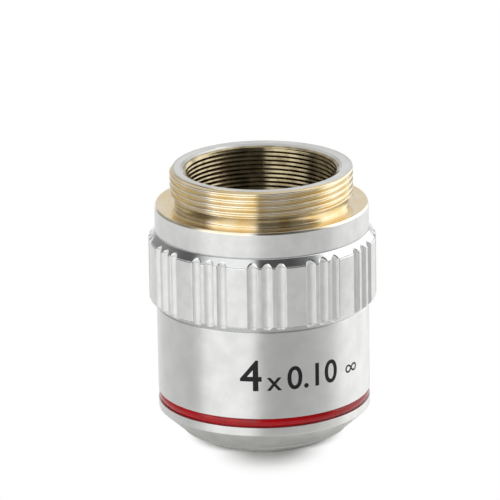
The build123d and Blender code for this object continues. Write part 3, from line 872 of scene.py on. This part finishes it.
def buildFloor():
    # White card: it takes the contact shadow near the object and fades into the backdrop. To the
    # eye it turns white past the shadow, and in the metal it ends at the mirror fade.
    size = floorSizes
    steps = size["steps"]
    bm = bmesh.new()
    middle = bm.verts.new((0, 0, -size["drop"] * mm))
    ring = ringOf(bm, size["radius"], -size["drop"], steps)
    for i in range(steps):
        bm.faces.new([middle, ring[i], ring[(i + 1) % steps]])
    mesh = bpy.data.meshes.new("floor")
    bm.to_mesh(mesh)
    bm.free()
    material = bpy.data.materials.new("white card")
    material.use_nodes = True
    tree = material.node_tree
    tree.nodes.clear()
    spot = addNode(tree, "ShaderNodeTexCoord").outputs["Object"]
    fades = {}
    for name, fade in size["fades"].items():
        centre = Vector(fade["centre"]) * mm
        near, far = [radius * mm for radius in fade["ends"]]
        off = addNode(tree, "ShaderNodeVectorMath", [spot, centre], operation="SUBTRACT")
        wide = addNode(tree, "ShaderNodeVectorMath", [off, fade["stretch"]], operation="MULTIPLY")
        away = addNode(tree, "ShaderNodeVectorMath", [wide], operation="LENGTH").outputs["Value"]
        ramp = addNode(tree, "ShaderNodeMapRange", {"Value": away, "From Min": near, "From Max": far},
                       interpolation_type="SMOOTHSTEP")
        fades[name] = ramp.outputs["Result"]
    ray = addNode(tree, "ShaderNodeLightPath").outputs
    card = addNode(tree, "ShaderNodeBsdfDiffuse", {"Color": linear(size["colour"])})
    glow = addNode(tree, "ShaderNodeEmission", {"Color": (1, 1, 1, 1), "Strength": size["glow"]})
    lit = addNode(tree, "ShaderNodeAddShader", [card, glow])
    sight = addNode(tree, "ShaderNodeMath", [ray["Is Camera Ray"], ray["Is Glossy Ray"]],
                    operation="MAXIMUM")
    clearSight = addNode(tree, "ShaderNodeMath", [sight, ray["Is Transmission Ray"]], operation="MAXIMUM")
    seen = addNode(tree, "ShaderNodeMixShader", [clearSight, card, lit])
    white = addNode(tree, "ShaderNodeEmission", {"Color": (1, 1, 1, 1), "Strength": 1.0})
    clear = addNode(tree, "ShaderNodeBsdfTransparent")
    beyond = addNode(tree, "ShaderNodeMixShader", [ray["Is Camera Ray"], clear, white])
    eyeFade = addNode(tree, "ShaderNodeMath", [fades["contact"], fades["shadow"]], operation="MINIMUM")
    fade = addNode(tree, "ShaderNodeMix", {0: ray["Is Camera Ray"], "A": fades["mirror"],
                                           "B": eyeFade})
    blend = addNode(tree, "ShaderNodeMixShader", [fade, seen, beyond])
    addNode(tree, "ShaderNodeOutputMaterial", {"Surface": blend})
    mesh.materials.append(material)
    floor = bpy.data.objects.new("floor", mesh)
    bpy.context.scene.collection.objects.link(floor)


# Two large soft panels lift matt surfaces. They don't show in the metal.
lamps = [
    dict(name="overheadPanel", place=(20.0, 40.0, 260.0), width=200.0, power=0.3),
    dict(name="frontPanel", place=(-60.0, -240.0, 60.0), width=160.0, power=0.11),
]


def buildLamp(size):
    light = bpy.data.lights.new(size["name"], "AREA")
    light.shape = "SQUARE"
    light.size = size["width"] * mm
    light.energy = size["power"]
    lamp = bpy.data.objects.new(size["name"], light)
    lamp.location = Vector(size["place"]) * mm
    aim = Vector((0, 0, rimLevel / 2)) * mm - lamp.location
    lamp.rotation_euler = aim.to_track_quat("-Z", "Y").to_euler()
    lamp.visible_glossy = False
    bpy.context.scene.collection.objects.link(lamp)


# The camera stands where the photograph's did: its rings' ellipses and the thread's pitch fix it
cameraSizes = dict(target=18.9, distance=540.0, pitch=17.85, roll=0.868, lens=350.6, sensor=36.0,
                   targetPixel=(262.56, 269.8), pixelsPerMm=9.018, middlePixel=250.0)


def buildCamera():
    size = cameraSizes
    pitch, roll = math.radians(size["pitch"]), math.radians(size["roll"])
    back = Vector((0, -math.cos(pitch), math.sin(pitch)))
    up = Vector((0, math.sin(pitch), math.cos(pitch)))
    right = Vector((1, 0, 0))
    imageRight = right * math.cos(roll) - up * math.sin(roll)
    imageUp = up * math.cos(roll) + right * math.sin(roll)
    target = Vector((0, 0, size["target"]))
    position = target + back * size["distance"]
    aside = (size["targetPixel"][0] - size["middlePixel"]) / size["pixelsPerMm"]
    below = (size["targetPixel"][1] - size["middlePixel"]) / size["pixelsPerMm"]
    aim = target - imageRight * aside + imageUp * below
    axisZ = (position - aim).normalized()
    axisX = imageUp.cross(axisZ).normalized()
    axisY = axisZ.cross(axisX)
    data = bpy.data.cameras.new("camera")
    data.lens = size["lens"]
    data.sensor_width = size["sensor"]
    data.clip_start = 0.01
    data.clip_end = 10.0
    camera = bpy.data.objects.new("camera", data)
    turn = Matrix((axisX, axisY, axisZ)).transposed().to_4x4()
    camera.matrix_world = Matrix.Translation(position * mm) @ turn
    bpy.context.scene.collection.objects.link(camera)
    bpy.context.scene.camera = camera


buildWorld()
buildFloor()
for lamp in lamps:
    buildLamp(lamp)
buildCamera()
bpy.context.scene.view_settings.view_transform = "Standard"
print("studio ready")
